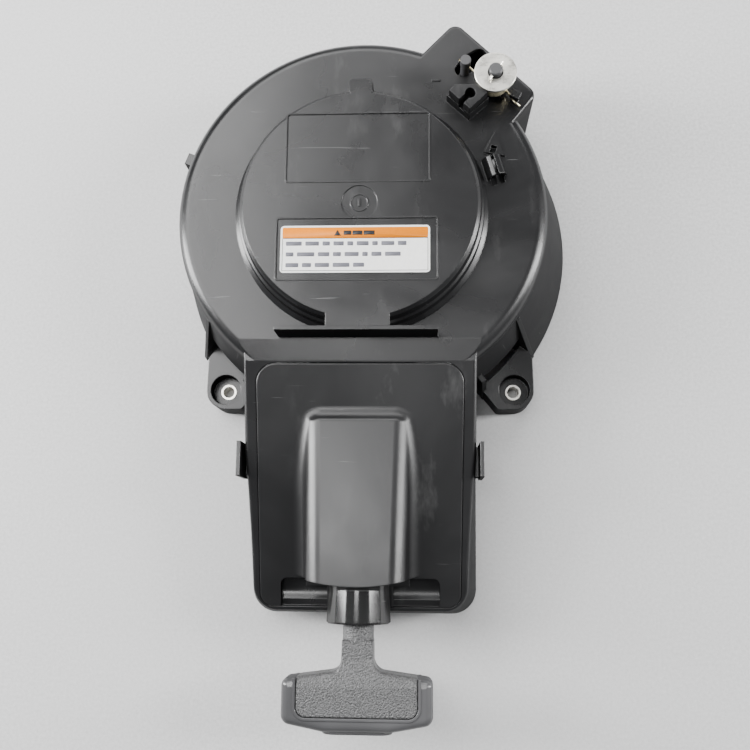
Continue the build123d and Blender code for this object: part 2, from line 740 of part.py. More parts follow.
with BuildPart() as rope_sheave:
    with BuildSketch(Plane.XZ):
        with BuildLine():
            Polyline(
                (BUSH_R, SHEAVE_HUB_LOW), (BUSH_R, HUB_TOP), (HUB_R, HUB_TOP), (HUB_R, SHEAVE_TOP),
                (SHEAVE_GROOVE_R - 3, SHEAVE_TOP), (SHEAVE_GROOVE_R, SHEAVE_TOP - 4),
                (SHEAVE_GROOVE_R, ROPE_Z + GROOVE_HALF + FLANGE_T),
                (SHEAVE_R, ROPE_Z + GROOVE_HALF + FLANGE_T),
                (SHEAVE_R, ROPE_Z + GROOVE_HALF), (SHEAVE_GROOVE_R, ROPE_Z + GROOVE_HALF),
                (SHEAVE_GROOVE_R, ROPE_Z - GROOVE_HALF), (SHEAVE_R, ROPE_Z - GROOVE_HALF),
                (SHEAVE_R, SHEAVE_LOW), (SHEAVE_GROOVE_R - 4, SHEAVE_LOW),
                (SHEAVE_GROOVE_R - 4, SHEAVE_TOP - FLANGE_T), (HUB_R, SHEAVE_TOP - FLANGE_T),
                (HUB_R, SHEAVE_HUB_LOW), (BUSH_R, SHEAVE_HUB_LOW),
            )
        make_face()
    revolve(axis=Axis.Z)
    # ribs between hub and rim
    with BuildSketch(Plane.XY.offset(SHEAVE_LOW + 1)):
        with PolarLocations(38, 8):
            Rectangle(43, 2.4)
    extrude(amount=SHEAVE_TOP - SHEAVE_LOW - 3)
    # hole that leads the rope in to its knot
    with BuildSketch(KNOT_PLANE):
        Circle(ROPE_R + 0.2)
    extrude(amount=SHEAVE_GROOVE_R - 48, mode=Mode.SUBTRACT)
    # bosses for the pawls and the ring that joins them
    with BuildSketch(Plane.XY.offset(SHEAVE_HUB_LOW)):
        with PolarLocations(PAWL_PIVOT_R, 2):
            Circle(7.0)
        Circle(36)
        Circle(33.5, mode=Mode.SUBTRACT)
        with PolarLocations(PAWL_PIVOT_R, 2):
            Circle(7.0)
    extrude(amount=SHEAVE_TOP - SHEAVE_HUB_LOW - 1)
    # notches for the start-in-gear lock in the upper flange
    with BuildSketch(Plane.XY.offset(ROPE_Z + GROOVE_HALF)):
        with PolarLocations(NOTCH_DEPTH_R + NOTCH_R, NOTCH_COUNT, start_angle=NOTCH_ANGLE):
            Circle(NOTCH_R)
        with PolarLocations(NOTCH_DEPTH_R + NOTCH_R + 5, NOTCH_COUNT, start_angle=NOTCH_ANGLE):
            Rectangle(10, 2 * NOTCH_R)
    extrude(amount=FLANGE_T, mode=Mode.SUBTRACT)
    # slot in the hub that takes the inner end of the spring
    with BuildSketch(Plane.XY.offset(STRIP_LOW - 1)):
        with Locations((HUB_R - 1, 0)):
            Rectangle(4, 2)
    extrude(amount=20, mode=Mode.SUBTRACT)
    # holes for the pawl pins
    with Locations(Plane.XY.offset(SHEAVE_HUB_LOW)):
        with PolarLocations(PAWL_PIVOT_R, 2):
            Hole(2.5, 9)
write(rope_sheave.part, "rope_sheave")

with BuildPart() as sheave_bushing:
    with BuildSketch(Plane.XY.offset(SHEAVE_HUB_LOW)):
        Circle(BUSH_R)
        Circle(POST_R + RUN, mode=Mode.SUBTRACT)
    extrude(amount=HUB_TOP - SHEAVE_HUB_LOW)
    chamfer(sheave_bushing.edges().filter_by(GeomType.CIRCLE).sort_by(SortBy.RADIUS)[-2:], 0.4)
write(sheave_bushing.part, "sheave_bushing")

with BuildPart() as sheave_snap_ring:
    with BuildSketch(Plane.XY.offset(48.4)):
        Circle(11.8)
        Circle(POST_R - 0.9, mode=Mode.SUBTRACT)
        with Locations((0, -10)):
            Rectangle(5, 8, mode=Mode.SUBTRACT)
    extrude(amount=1.1)
write(sheave_snap_ring.part, "sheave_snap_ring")

# ================= rope =================

with BuildPart() as rope_coil:
    with BuildSketch(Plane(origin=lead_start, x_dir=(0, 0, 1), z_dir=lead_dir)):
        Circle(ROPE_R)
    sweep(path=coil_path)
write(rope_coil.part, "rope_coil")

guide_point = Vector(0, GUIDE_Y, ROPE_Z)
handle_point = Vector(0, -258, ROPE_Z)
with BuildLine() as lead_path:
    FilletPolyline(lead_start, guide_point, handle_point, radius=14)
with BuildPart() as rope_lead:
    with BuildSketch(Plane(origin=lead_start, x_dir=(0, 0, 1), z_dir=lead_dir)):
        Circle(ROPE_R)
    sweep(path=lead_path.wire())
write(rope_lead.part, "rope_lead")

# ================= ratchet =================


def pawl(turned):
    """A pawl on the sheave's underside, with the peg that the plate drives."""
    with BuildPart() as piece:
        with BuildSketch(Plane.XY.offset(PAWL_LOW)):
            with BuildLine():
                Polyline((PAWL_PIVOT_R + 5, 0), (PAWL_PIVOT_R + 3.6, 14), (PAWL_PIVOT_R + 1.0, 26.5))
                Polyline((PAWL_PIVOT_R + 1.0, 26.5), (PAWL_PIVOT_R - 5.0, 25.0), (PAWL_PIVOT_R - 5, 0))
                ThreePointArc((PAWL_PIVOT_R - 5, 0), (PAWL_PIVOT_R, -5), (PAWL_PIVOT_R + 5, 0))
            make_face()
            with Locations((PAWL_PIVOT_R, 0)):
                Circle(2.5 + RUN, mode=Mode.SUBTRACT)
        extrude(amount=PAWL_HIGH - PAWL_LOW)
        with BuildSketch(Plane.XY.offset(PLATE_LOW - 0.4)):
            with Locations((PAWL_PIVOT_R - 3, 11)):
                Circle(PEG_R)
        extrude(amount=PAWL_LOW - PLATE_LOW + 1)
    return piece.part.rotate(Axis.Z, turned)


for number, turned in ((1, 0), (2, 180)):
    write(pawl(turned), f"pawl_{number}")

with BuildPart() as pawl_pins:
    with BuildSketch(Plane.XY.offset(PAWL_LOW - 0.1)):
        with PolarLocations(PAWL_PIVOT_R, 2):
            Circle(2.5)
    extrude(amount=15)
    with BuildSketch(Plane.XY.offset(PAWL_LOW - 0.1)):
        with PolarLocations(PAWL_PIVOT_R, 2):
            Circle(4.0)
    extrude(amount=-0.9)
write(pawl_pins.part, "pawl_pins")


def peg_place(part_way):
    """The peg seen from the plate, when the pawl has swung part of its way out."""
    swing = radians(-PAWL_SWING * part_way)
    x = PAWL_PIVOT_R - 3 * cos(swing) - 11 * sin(swing)
    y = -3 * sin(swing) + 11 * cos(swing)
    return polar(hypot(x, y), degrees(atan2(y, x)) - PLATE_TURN * part_way)


with BuildPart() as friction_plate:
    with BuildSketch(Plane.XY.offset(PLATE_LOW)):
        Circle(PLATE_HUB_R)
        with BuildLine(mode=Mode.PRIVATE) as peg_path:
            ThreePointArc(peg_place(0), peg_place(0.5), peg_place(1))
        arm_plan = SlotArc(peg_path.edge(), 12.5, mode=Mode.PRIVATE)
        cut_plan = SlotArc(peg_path.edge(), 2 * PEG_R + 0.6, mode=Mode.PRIVATE)
        for turned in (0, 180):
            add(arm_plan.rotate(Axis.Z, turned))
        for turned in (0, 180):
            add(cut_plan.rotate(Axis.Z, turned), mode=Mode.SUBTRACT)
        Circle(SPIGOT_R + RUN, mode=Mode.SUBTRACT)
    extrude(amount=PLATE_T)
write(friction_plate.part, "friction_plate")

with BuildPart() as friction_spring:
    with BuildSketch(Plane.XZ):
        for level in (PLATE_LOW + PLATE_T + 0.85, PLATE_LOW + PLATE_T + 1.95, PLATE_LOW + PLATE_T + 2.9):
            with Locations((7.6, level)):
                Circle(0.65)
    revolve(axis=Axis.Z)
write(friction_spring.part, "friction_spring")

with BuildPart() as centre_washer:
    with BuildSketch(Plane.XY.offset(SPIGOT_LOW - 2)):
        Circle(14)
        Circle(3.2, mode=Mode.SUBTRACT)
    extrude(amount=1.95)
    low_rims = centre_washer.edges().group_by(Axis.Z)[0].filter_by(GeomType.CIRCLE)
    chamfer(low_rims.sort_by(SortBy.RADIUS)[-1:], 0.5)
write(centre_washer.part, "centre_washer")

with BuildPart() as centre_screw:
    with BuildSketch(Plane.XY.offset(SPIGOT_LOW - 2)):
        Circle(3.0)
    extrude(amount=24)
    with BuildSketch(Plane.XY.offset(SPIGOT_LOW - 2)):
        RegularPolygon(5.0, 6, major_radius=False)
    extrude(amount=-4.5)
    with BuildSketch(Plane.XY.offset(SPIGOT_LOW - 2)):
        Circle(6.6)
    extrude(amount=-1.2)
    chamfer(centre_screw.faces().sort_by(Axis.Z)[0].edges(), 0.5)
write(centre_screw.part, "centre_screw")

with BuildPart() as post_insert:
    with BuildSketch(Plane.XY.offset(SPIGOT_LOW + 2)):
        Circle(4.2)
        Circle(3.0, mode=Mode.SUBTRACT)
    extrude(amount=24)
write(post_insert.part, "post_insert")

# ================= start-in-gear lock =================

LOCK = (LOCK_X, LOCK_Y)
peg_point = about(LOCK, LOCK_PEG_REACH, LOCK_PEG_ANGLE)
nose_point = about(LOCK, LOCK_NOSE_REACH, LOCK_NOSE_ANGLE)
COTTER_PLANE = Plane(origin=(LOCK_X, LOCK_Y, 98.7), x_dir=(0.825, -0.566, 0), z_dir=(0.566, 0.825, 0))
SPRING_LEG = Plane(origin=(66.5, 76.6, 87.2), x_dir=(0, 0, 1), z_dir=(-0.746, 0.666, 0))

with BuildPart() as interlock_lever:
    with BuildSketch(Plane.XY.offset(LOCK_ARM_LOW)):
        for tip in (peg_point, nose_point):
            middle = ((LOCK_X + tip[0]) / 2, (LOCK_Y + tip[1]) / 2)
            reach = hypot(tip[0] - LOCK_X, tip[1] - LOCK_Y)
            turn = degrees(atan2(tip[1] - LOCK_Y, tip[0] - LOCK_X))
            with Locations(Location((*middle, 0), (0, 0, turn))):
                SlotCenterToCenter(reach, 8.0)
        with Locations(LOCK):
            Circle(7.5)
    extrude(amount=LOCK_ARM_T)
    with BuildSketch(Plane.XY.offset(ROPE_Z + GROOVE_HALF + 0.2)):
        with Locations(nose_point):
            Circle(4.0)
    extrude(amount=LOCK_ARM_LOW - ROPE_Z - GROOVE_HALF + 0.8)
    with BuildSketch(Plane.XY.offset(LOCK_ARM_LOW)):
        with Locations(LOCK):
            Circle(LOCK_SHAFT_R)
    extrude(amount=101 - LOCK_ARM_LOW)
    with BuildSketch(Plane.XY.offset(LOCK_ARM_LOW)):
        with Locations(peg_point):
            Circle(2.6)
    extrude(amount=22)
    with BuildSketch(Plane.XY.offset(89)):
        with Locations(peg_point):
            Circle(3.0)
    extrude(amount=5)
    chamfer(interlock_lever.edges().group_by(Axis.Z)[-1], 0.6)
    # cross holes for the cotter pin and for the spring's leg
    with BuildSketch(COTTER_PLANE):
        Circle(0.9)
    extrude(amount=20, both=True, mode=Mode.SUBTRACT)
    with BuildSketch(SPRING_LEG):
        Circle(0.8)
    extrude(amount=16, mode=Mode.SUBTRACT)
    with BuildSketch(Plane.XY.offset(80)):
        with Locations(LOCK):
            Circle(LOCK_SHAFT_R)
    extrude(amount=12)
write(interlock_lever.part, "interlock_lever")

with BuildPart() as interlock_washer:
    with BuildSketch(Plane.XY.offset(LOCK_BOSS_TOP + 0.1)):
        with Locations(LOCK):
            Circle(WASHER_R)
            Circle(WASHER_HOLE_R, mode=Mode.SUBTRACT)
    extrude(amount=WASHER_T)
    fillet(interlock_washer.edges().filter_by(GeomType.CIRCLE).sort_by(SortBy.RADIUS)[-2:], 0.4)
write(interlock_washer.part, "interlock_washer")

with BuildPart() as interlock_cotter_pin:
    with BuildSketch(COTTER_PLANE):
        Circle(0.85)
    extrude(amount=6.4, both=True)
write(interlock_cotter_pin.part, "interlock_cotter_pin")

with BuildPart() as interlock_spring:
    lock_axis = Axis((LOCK_X, LOCK_Y, 0), (0, 0, 1))
    with BuildSketch(Plane(origin=(LOCK_X, LOCK_Y, 0), x_dir=(1, 0, 0), z_dir=(0, -1, 0))):
        for turn in range(8):
            with Locations((7.9, 83.2 + 1.6 * turn)):
                Circle(0.85)
    revolve(axis=lock_axis)
    # leg through the lever's peg, and leg to the hook on the housing
    with BuildSketch(SPRING_LEG):
        Circle(0.6)
    extrude(amount=16)
    with BuildSketch(Plane(origin=(77.4, 66.8, 83.6), x_dir=(0, 0, 1), z_dir=(0.93, -0.37, 0))):
        Circle(0.6)
    extrude(amount=4.6)
write(interlock_spring.part, "interlock_spring")

# ================= T-handle =================

with BuildPart() as handle_whole:
    with BuildSketch(Plane.XY.offset(ROPE_Z)):
        with BuildLine():
            right = [
                (HANDLE_STEM_R, HANDLE_SHOULDER + 8), (HANDLE_STEM_R + 0.3, HANDLE_SHOULDER - 7.4),
                (HANDLE_HALF, HANDLE_BACK), (HANDLE_HALF, HANDLE_FRONT), (17.5, HANDLE_END),
            ]
            left = [(-x, y) for x, y in reversed(right)]
            FilletPolyline(*right, *left, close=True, radius=[0.5, 7, 4, 5, 9, 9, 5, 4, 7, 0.5])
        make_face()
    extrude(amount=HANDLE_HALF_T, both=True)
    fillet(handle_whole.faces().filter_by(Axis.Z).edges(), 4.0)
    with BuildSketch(Plane.YZ):
        Polygon(
            (HANDLE_SHOULDER + 9, ROPE_Z - HANDLE_STEM_R), (HANDLE_SHOULDER - 2, ROPE_Z - HANDLE_STEM_R),
            (HANDLE_BACK - 4, ROPE_Z - HANDLE_HALF_T), (HANDLE_END - 2, ROPE_Z - HANDLE_HALF_T),
            (HANDLE_END - 2, ROPE_Z + HANDLE_HALF_T), (HANDLE_BACK - 4, ROPE_Z + HANDLE_HALF_T),
            (HANDLE_SHOULDER - 2, ROPE_Z + HANDLE_STEM_R), (HANDLE_SHOULDER + 9, ROPE_Z + HANDLE_STEM_R),
            align=None,
        )
    extrude(amount=60, both=True, mode=Mode.INTERSECT)
    with BuildSketch(Plane.XZ.offset(-HANDLE_IN)):
        with Locations((0, ROPE_Z)):
            Circle(HANDLE_STEM_R)
    extrude(amount=34)


def grip_region(grow):
    """The plan of the grained grip: it ends inside the frame on three sides."""
    with BuildSketch(Plane.XY.offset(ROPE_Z)) as region:
        Polygon(
            (-GRIP_HALF, -200), (GRIP_HALF, -200), (GRIP_HALF, GRIP_FRONT), (-GRIP_HALF, GRIP_FRONT),
            align=None,
        )
        fillet(region.vertices().sort_by(Axis.Y)[:2], 5.0)
        if grow:
            offset(amount=grow)
    return region.sketch


with BuildPart() as handle_grip:
    add(handle_whole.part)
    extrude(grip_region(0), amount=30, both=True, mode=Mode.INTERSECT)
    # rope hole and the pocket for the knot
    with BuildSketch(Plane.XZ.offset(-HANDLE_IN - 1)):
        with Locations((0, ROPE_Z)):
            Circle(ROPE_R + 0.4)
    extrude(amount=90, mode=Mode.SUBTRACT)
    with BuildSketch(Plane.XZ.offset(256)):
        with Locations((0, ROPE_Z)):
            Circle(7.0)
    extrude(amount=30, mode=Mode.SUBTRACT)
write(handle_grip.part, "handle_grip")

with BuildPart() as handle_frame:
    add(handle_whole.part)
    extrude(grip_region(0), amount=30, both=True, mode=Mode.SUBTRACT)
    # a raised lip follows the grip's edge, with a fine seam between them
    with BuildSketch(Plane.XY.offset(ROPE_Z)):
        add(grip_region(2.0))
        add(grip_region(0.5), mode=Mode.SUBTRACT)
        with Locations((0, -220)):
            Rectangle(100, 62, mode=Mode.SUBTRACT)
    extrude(amount=HANDLE_HALF_T + 0.35, both=True)
    for level, depth in ((ROPE_Z + HANDLE_HALF_T + 2, -4), (ROPE_Z - HANDLE_HALF_T - 2, 4)):
        with BuildSketch(Plane.XY.offset(level)):
            add(grip_region(0.5))
        extrude(amount=depth, mode=Mode.SUBTRACT)
    with BuildSketch(Plane.XZ.offset(268)):
        with Locations((0, ROPE_Z)):
            Circle(6.0)
    extrude(amount=30, mode=Mode.SUBTRACT)
write(handle_frame.part, "handle_frame")

with BuildPart() as handle_end_plug:
    with BuildSketch(Plane.XZ.offset(267.5)):
        with Locations((0, ROPE_Z)):
            Circle(5.9)
            Circle(4.6, mode=Mode.SUBTRACT)
    extrude(amount=-HANDLE_END - 267.5)
    with BuildSketch(Plane.XZ.offset(-HANDLE_END)):
        with Locations((0, ROPE_Z)):
            SlotOverall(37.0, 13.0)
    extrude(amount=1.6)
    fillet(handle_end_plug.faces().sort_by(Axis.Y)[0].edges(), 0.7)
write(handle_end_plug.part, "handle_end_plug")

with BuildPart() as handle_knot_plate:
    with BuildSketch(Plane.XZ.offset(256)):
        with Locations((0, ROPE_Z)):
            Circle(6.8)
            Circle(ROPE_R + 0.3, mode=Mode.SUBTRACT)
    extrude(amount=1.6)
write(handle_knot_plate.part, "handle_knot_plate")

with BuildPart() as handle_knot:
    with Locations((0, -262.3, ROPE_Z)):
        Sphere(4.3)
write(handle_knot.part, "handle_knot")

# ================= knot in the sheave =================

with BuildPart() as sheave_knot:
    with BuildSketch(Plane(origin=(0, 0, ROPE_Z), x_dir=KNOT_DIR, z_dir=(0, 0, 1))):
        with BuildLine():
            ThreePointArc((50.6, 0), (54.2, 3.6), (54.2 + sqrt(3.6**2 - ROPE_R**2), ROPE_R))
            Polyline(
                (54.2 + sqrt(3.6**2 - ROPE_R**2), ROPE_R), (ROPE_FIRST_R - ROPE_R - 0.2, ROPE_R),
                (ROPE_FIRST_R - ROPE_R - 0.2, 0), (50.6, 0),
            )
        make_face()
    revolve(axis=Axis((0, 0, ROPE_Z), KNOT_DIR))
write(sheave_knot.part, "sheave_knot")
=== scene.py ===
"""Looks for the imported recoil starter: materials, label print, rope, lock spring, floor, light and camera.

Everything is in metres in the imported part's frame: +Z up, -Y towards the T-handle.
"""

import json
from math import asin, cos, pi, radians, sin, tan

import bmesh
import bpy
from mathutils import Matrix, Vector


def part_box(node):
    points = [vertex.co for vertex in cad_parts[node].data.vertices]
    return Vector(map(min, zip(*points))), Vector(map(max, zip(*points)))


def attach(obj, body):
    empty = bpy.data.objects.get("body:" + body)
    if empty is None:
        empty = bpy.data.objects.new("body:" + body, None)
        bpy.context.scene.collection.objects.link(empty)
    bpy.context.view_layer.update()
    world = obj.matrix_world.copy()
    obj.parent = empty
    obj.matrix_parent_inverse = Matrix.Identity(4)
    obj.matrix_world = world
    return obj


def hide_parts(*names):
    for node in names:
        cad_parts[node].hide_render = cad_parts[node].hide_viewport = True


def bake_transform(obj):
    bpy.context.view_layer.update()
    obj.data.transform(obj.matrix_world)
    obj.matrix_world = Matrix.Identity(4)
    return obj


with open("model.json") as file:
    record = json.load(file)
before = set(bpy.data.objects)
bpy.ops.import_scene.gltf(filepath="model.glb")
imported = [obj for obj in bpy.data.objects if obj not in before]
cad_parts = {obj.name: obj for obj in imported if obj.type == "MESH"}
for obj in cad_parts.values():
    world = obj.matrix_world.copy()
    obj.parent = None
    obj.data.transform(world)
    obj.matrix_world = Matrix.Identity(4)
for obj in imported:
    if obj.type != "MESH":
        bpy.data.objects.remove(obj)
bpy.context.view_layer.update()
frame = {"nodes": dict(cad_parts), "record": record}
NODES = frame["nodes"]
MM = 0.001

scene = bpy.context.scene


# ---------------------------------------------------------------- camera

CAMERA_PLACE = (0.0355, -0.1849, 0.583)
CAMERA_TURN = (radians(10.44), radians(2.963), radians(0.546))
CAMERA_LENS = 45.6
CAMERA_SENSOR = 36.0
CAMERA_CLIP = (0.01, 20.0)


def make_camera():
    """The camera stands high above the neck and looks down and a little back."""
    data = bpy.data.cameras.new("camera")
    data.sensor_width = CAMERA_SENSOR
    data.lens = CAMERA_LENS
    data.clip_start, data.clip_end = CAMERA_CLIP
    camera = bpy.data.objects.new("camera", data)
    camera.location = CAMERA_PLACE
    camera.rotation_euler = CAMERA_TURN
    scene.collection.objects.link(camera)
    scene.camera = camera


# ---------------------------------------------------------------- material tools

EDGE_SAMPLES = 6


class Nodes:
    """A material's node tree, with short calls for the nodes used here."""

    def __init__(self, name):
        self.material = bpy.data.materials.new(name)
        self.material.use_nodes = True
        self.tree = self.material.node_tree
        self.shader = self.tree.nodes["Principled BSDF"]
        self.coord_node = self.tree.nodes.new("ShaderNodeTexCoord")
        self.coord = self.coord_node.outputs["Object"]

    def add(self, kind, **settings):
        node = self.tree.nodes.new(kind)
        for key, value in settings.items():
            setattr(node, key, value)
        return node

    def link(self, out, socket):
        self.tree.links.new(out, socket)

    def mapped(self, scale, turn=(0.0, 0.0, 0.0)):
        node = self.add("ShaderNodeMapping")
        node.inputs["Scale"].default_value = scale
        node.inputs["Rotation"].default_value = turn
        self.link(self.coord, node.inputs["Vector"])
        return node.outputs["Vector"]

    def noise(self, scale, detail=3.0, rough=0.5, vector=None, distortion=0.0):
        node = self.add("ShaderNodeTexNoise")
        node.inputs["Scale"].default_value = scale
        node.inputs["Detail"].default_value = detail
        node.inputs["Roughness"].default_value = rough
        node.inputs["Distortion"].default_value = distortion
        self.link(vector or self.coord, node.inputs["Vector"])
        return node.outputs["Fac"]

    def ramp(self, value, stops):
        node = self.add("ShaderNodeValToRGB")
        ramp = node.color_ramp
        while len(ramp.elements) < len(stops):
            ramp.elements.new(0.5)
        for element, (place, colour) in zip(ramp.elements, stops):
            element.position = place
            element.color = (*colour, 1.0)
        self.link(value, node.inputs["Fac"])
        return node.outputs["Color"]

    def span(self, value, low, high, from_low=0.0, from_high=1.0):
        node = self.add("ShaderNodeMapRange")
        node.inputs["From Min"].default_value = from_low
        node.inputs["From Max"].default_value = from_high
        node.inputs["To Min"].default_value = low
        node.inputs["To Max"].default_value = high
        self.link(value, node.inputs["Value"])
        return node.outputs["Result"]

    def math(self, operation, first, second):
        node = self.add("ShaderNodeMath", operation=operation)
        for socket, value in zip(node.inputs, (first, second)):
            if isinstance(value, (int, float)):
                socket.default_value = value
            else:
                self.link(value, socket)
        return node.outputs["Value"]

    def mix(self, factor, first, second, blend="MIX"):
        node = self.add("ShaderNodeMix", data_type="RGBA", blend_type=blend)
        if isinstance(factor, (int, float)):
            node.inputs[0].default_value = factor
        else:
            self.link(factor, node.inputs[0])
        for socket, value in ((node.inputs[6], first), (node.inputs[7], second)):
            if isinstance(value, tuple):
                socket.default_value = (*value, 1.0)
            else:
                self.link(value, socket)
        return node.outputs[2]

    def upward(self):
        """1 where the surface faces straight up or down, 0 on a vertical wall."""
        normal = self.add("ShaderNodeSeparateXYZ")
        self.link(self.coord_node.outputs["Normal"], normal.inputs["Vector"])
        return self.math("ABSOLUTE", normal.outputs["Z"], 0.0)

    def edges(self, radius):
        """The normal of edges that are rounded by a small radius."""
        node = self.add("ShaderNodeBevel", samples=EDGE_SAMPLES)
        node.inputs["Radius"].default_value = radius
        return node.outputs["Normal"]

    def bump(self, height, strength, distance, normal=None):
        node = self.add("ShaderNodeBump")
        node.inputs["Strength"].default_value = strength
        node.inputs["Distance"].default_value = distance
        self.link(height, node.inputs["Height"])
        if normal is not None:
            self.link(normal, node.inputs["Normal"])
        return node.outputs["Normal"]

    def finish(self, colour, roughness, normal, metallic=0.0, specular=0.5):
        """Join the results to the shader; a specular of None leaves a link that is already there."""
        self.link(colour, self.shader.inputs["Base Color"])
        self.link(roughness, self.shader.inputs["Roughness"])
        self.link(normal, self.shader.inputs["Normal"])
        self.shader.inputs["Metallic"].default_value = metallic
        if specular is not None:
            self.shader.inputs["Specular IOR Level"].default_value = specular
        return self.material


# light colour of the patches on black plastic: partly dust, partly a painted cloudy sheen
DUST_AND_SHEEN = (0.11, 0.11, 0.11)
SPECK = (0.14, 0.14, 0.14)
SCRATCH = (0.13, 0.13, 0.13)
MOULDED_EDGE = 0.0007
GRIP_EDGE = 0.0012
MATT_EDGE = 0.0004


def scaled(tone, factor):
    return tuple(factor * c for c in tone)


def scratches(nodes, scale, turn, sharp):
    """Fine hair scratches: a noise stretched along one direction and cut to its peaks."""
    along = nodes.mapped((1.0, 22.0, 1.0), (0.0, 0.0, turn))
    line = nodes.noise(scale, detail=2.0, rough=0.6, vector=along, distortion=0.4)
    return nodes.span(line, 0.0, 1.0, from_low=sharp, from_high=sharp + 0.035)


def moulded_black(name, tone, rough_low, rough_high, grain=0.00003):
    """Black moulded plastic: flow marks, a fine grain, light patches that are partly dust and partly a
    painted cloudy sheen, and a few hair scratches.

    Walls are darker than faces that look up, as painted shade: they take less of the light patch colour, a
    lower specular level and a higher roughness.
    """
    n = Nodes(name)
    flow = n.noise(11.0, detail=4.0, rough=0.55, distortion=0.6)
    smear_and_sheen = n.noise(38.0, detail=5.0, rough=0.7, vector=n.mapped((1.0, 0.35, 1.0)))
    wall = n.span(n.upward(), 1.0, 0.0, from_low=0.25, from_high=0.65)
    # patch mask: partly real dust, partly painted cloudy sheen
    dust_and_sheen = n.math("MULTIPLY", n.span(smear_and_sheen, 0.0, 1.0, from_low=0.56, from_high=0.78),
                   n.span(flow, 0.0, 1.0, from_low=0.4, from_high=0.6))
    speck = n.span(n.noise(1500.0, detail=1.0, rough=0.4), 0.0, 0.3, from_low=0.80, from_high=0.86)
    lines = n.math("MAXIMUM", scratches(n, scale=26.0, turn=0.7, sharp=0.735),
                   scratches(n, scale=31.0, turn=2.2, sharp=0.74))

    colour = n.ramp(flow, [(0.32, scaled(tone, 0.8)), (0.55, tone), (0.74, scaled(tone, 1.35))])
    # up-facing faces take four times as much of the light patch colour as walls: painted shade on the walls
    colour = n.mix(n.math("MULTIPLY", dust_and_sheen, n.span(wall, 0.40, 0.10)), colour, DUST_AND_SHEEN)
    colour = n.mix(speck, colour, SPECK)
    colour = n.mix(n.math("MULTIPLY", lines, 0.4), colour, SCRATCH)

    rough = n.span(flow, rough_low, rough_high, from_low=0.35, from_high=0.65)
    rough = n.math("ADD", rough, n.math("MULTIPLY", dust_and_sheen, 0.10))
    # more roughness and a low specular level on walls darken them as painted shade
    rough = n.math("ADD", rough, n.math("MULTIPLY", wall, 0.30))
    n.link(n.span(wall, 0.5, 0.06), n.shader.inputs["Specular IOR Level"])

    pores = n.noise(2600.0, detail=2.0, rough=0.6)
    fine = n.bump(pores, strength=0.5, distance=grain, normal=n.edges(MOULDED_EDGE))
    waves = n.bump(n.noise(60.0, detail=2.0, rough=0.4), strength=0.25, distance=0.00012, normal=fine)
    return n.finish(colour, rough, waves, specular=None)


def grained_black(name):
    """The handle's leather-like grain."""
    n = Nodes(name)
    cells = n.add("ShaderNodeTexVoronoi", feature="SMOOTH_F1")
    cells.inputs["Scale"].default_value = 1100.0
    cells.inputs["Smoothness"].default_value = 0.6
    n.link(n.coord, cells.inputs["Vector"])
    height = n.math("ADD", cells.outputs["Distance"], n.math("MULTIPLY", n.noise(1900.0), 0.5))
    colour = n.ramp(height, [(0.25, (0.006, 0.006, 0.006)), (0.78, (0.085, 0.085, 0.086))])
    rough = n.span(n.noise(120.0), 0.30, 0.46, from_low=0.3, from_high=0.7)
    leather = n.bump(height, strength=1.0, distance=0.0004, normal=n.edges(GRIP_EDGE))
    return n.finish(colour, rough, leather)


def metal(name, tone, rough_low, rough_high, brush=(1.0, 30.0, 1.0)):
    """Plated or drawn metal: brushed roughness and faint stains."""
    n = Nodes(name)
    brushed = n.noise(180.0, detail=4.0, rough=0.6, vector=n.mapped(brush))
    stain = n.noise(130.0, detail=4.0, rough=0.65)
    colour = n.ramp(stain, [(0.3, scaled(tone, 0.62)), (0.52, tone), (0.8, scaled(tone, 1.08))])
    worn = n.math("ADD", n.math("MULTIPLY", brushed, 0.6), n.math("MULTIPLY", stain, 0.4))
    rough = n.span(worn, rough_low, rough_high, from_low=0.3, from_high=0.7)
    return n.finish(colour, rough, n.bump(brushed, strength=0.25, distance=0.00004), metallic=1.0)


def matt_plastic(name, tone, rough):
    """A plain moulded plastic for inner parts, with flow marks and a light grain."""
    n = Nodes(name)
    flow = n.noise(38.0, detail=4.0, rough=0.6)
    colour = n.ramp(flow, [(0.3, scaled(tone, 0.8)), (0.7, scaled(tone, 1.2))])
    uneven = n.span(flow, rough - 0.08, rough + 0.08, from_low=0.3, from_high=0.7)
    grain = n.bump(n.noise(1500.0), strength=0.4, distance=0.00004, normal=n.edges(MATT_EDGE))
    return n.finish(colour, uneven, grain)


def rope_material():
    """Braided rope: two crossed sets of twill ridges along the rope."""
    n = Nodes("braided_rope")
    ridges = []
    for vector, distortion in ((n.coord, 0.6), (n.mapped((1.0, -1.0, 1.0)), 0.0)):
        wave = n.add("ShaderNodeTexWave", bands_direction="DIAGONAL")
        wave.inputs["Scale"].default_value = 330.0
        wave.inputs["Distortion"].default_value = distortion
        n.link(vector, wave.inputs["Vector"])
        ridges.append(wave.outputs["Fac"])
    braid = n.math("MULTIPLY", *ridges)
    fuzz = n.noise(2400.0)
    colour = n.ramp(braid, [(0.0, (0.16, 0.16, 0.17)), (0.6, (0.42, 0.42, 0.44)),
                            (1.0, (0.55, 0.55, 0.57))])
    height = n.math("ADD", braid, n.math("MULTIPLY", fuzz, 0.3))
    return n.finish(colour, n.span(fuzz, 0.7, 0.95), n.bump(height, strength=0.8, distance=0.0003))


def printed(name, tone):
    """Printed film: a matt ink with faint mottling and a soft waviness."""
    n = Nodes(name)
    colour = n.ramp(n.noise(420.0, rough=0.6), [(0.3, scaled(tone, 0.93)), (0.7, tone)])
    rough = n.span(n.noise(60.0), 0.36, 0.48, from_low=0.3, from_high=0.7)
    waves = n.bump(n.noise(90.0, detail=2.0), strength=0.2, distance=0.00008)
    return n.finish(colour, rough, waves, specular=0.12)


